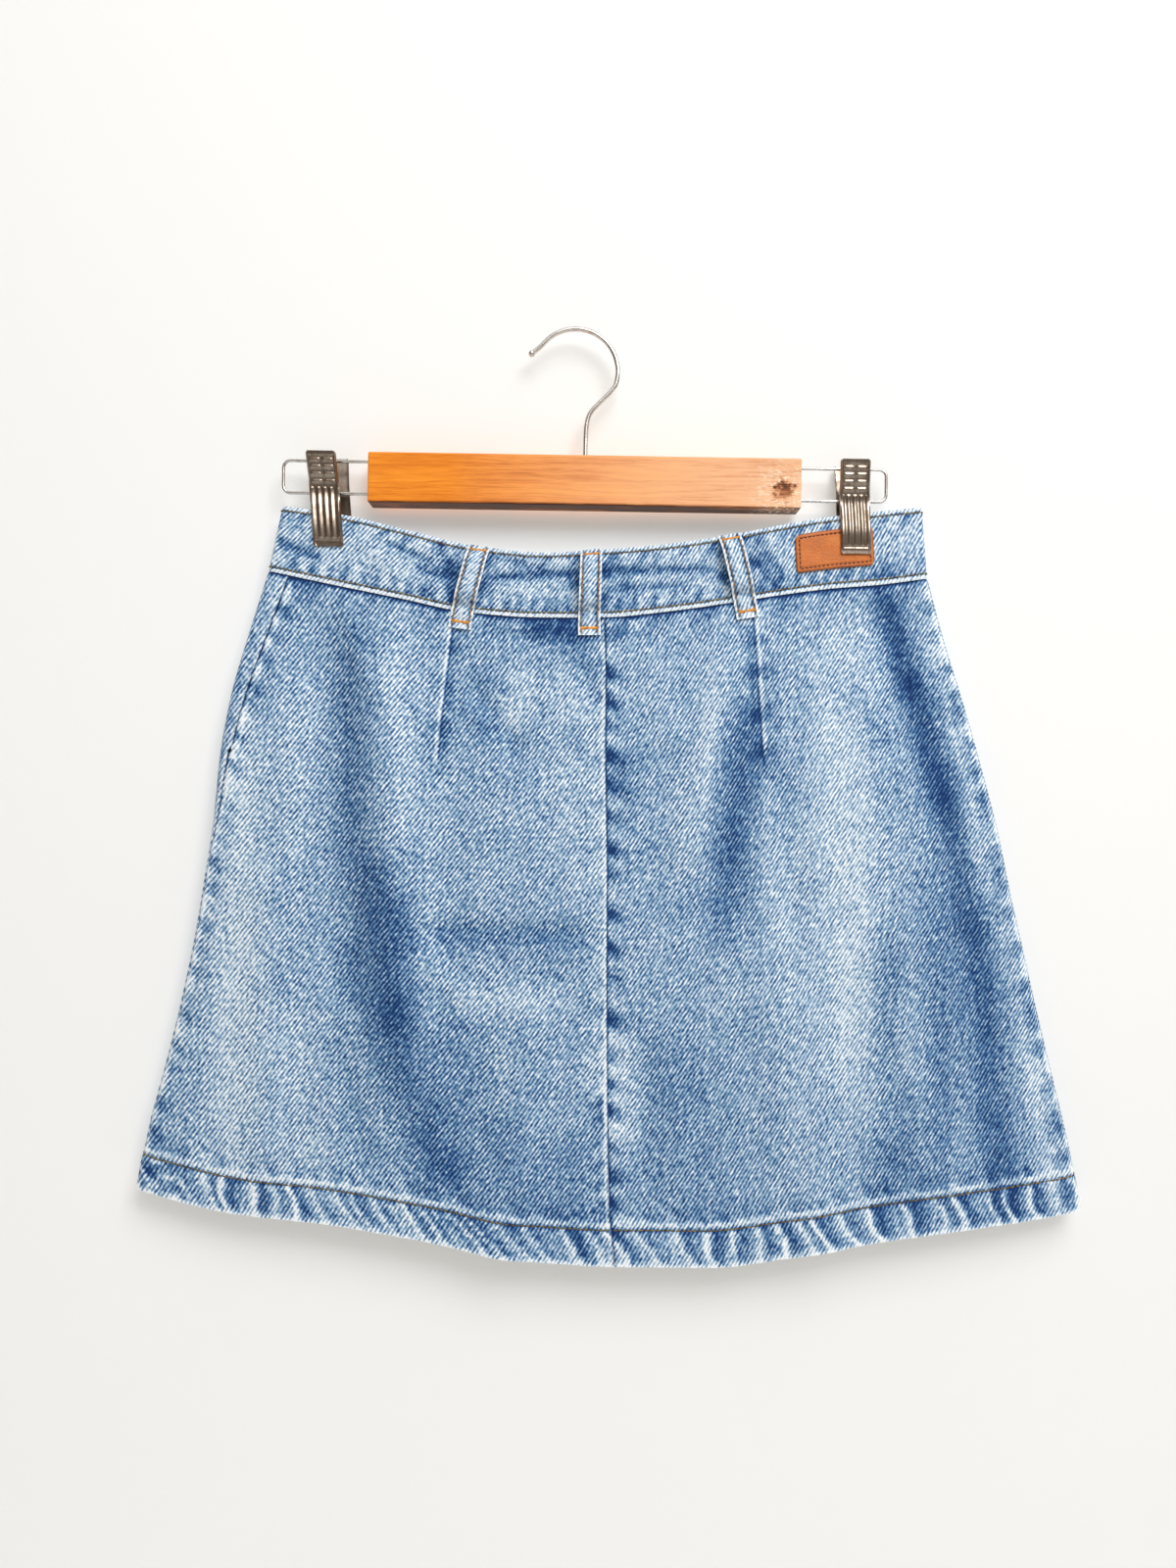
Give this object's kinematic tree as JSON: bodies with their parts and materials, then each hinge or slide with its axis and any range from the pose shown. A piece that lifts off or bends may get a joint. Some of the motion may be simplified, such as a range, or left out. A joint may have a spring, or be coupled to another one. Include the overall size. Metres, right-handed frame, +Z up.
{
  "type": "denim skirt on a clip hanger",
  "caption": "A-line denim mini skirt, back side shown, with belt loops and a bare leather patch, held at the waist by a wooden clip hanger.",
  "frame": {"origin": "inner crown of the hanger's hook, where it hangs on a rail", "axes": "+Z up; -Y is the way the shown back of the skirt faces; +X is to the right seen from there"},
  "size_m": [0.5315, 0.0304, 0.5251],
  "materials": {
    "denim": "light-wash blue twill, matte",
    "leather": "tan leather, bare, dull",
    "button_metal": "aged brass",
    "wood": "honey varnish, satin",
    "wire": "plated steel wire",
    "clip_metal": "pressed and plated steel sheet"
  },
  "bodies": {
    "root": {"back_left": "denim", "back_right": "denim", "front_left": "denim", "front_right": "denim", "waistband_left": "denim", "waistband_right": "denim", "loop_back_left": "denim", "loop_back_centre": "denim", "loop_back_right": "denim", "loop_front_left": "denim", "loop_front_right": "denim", "fly_placket": "denim", "leather_patch": "leather", "waist_button": "button_metal", "wood_bar": "wood", "hook": "wire", "wire_left": "wire", "wire_right": "wire", "clip_left_front": "clip_metal", "clip_left_back": "clip_metal", "clip_left_spring": "clip_metal", "clip_right_front": "clip_metal", "clip_right_back": "clip_metal", "clip_right_spring": "clip_metal"}
  },
  "joints": []
}
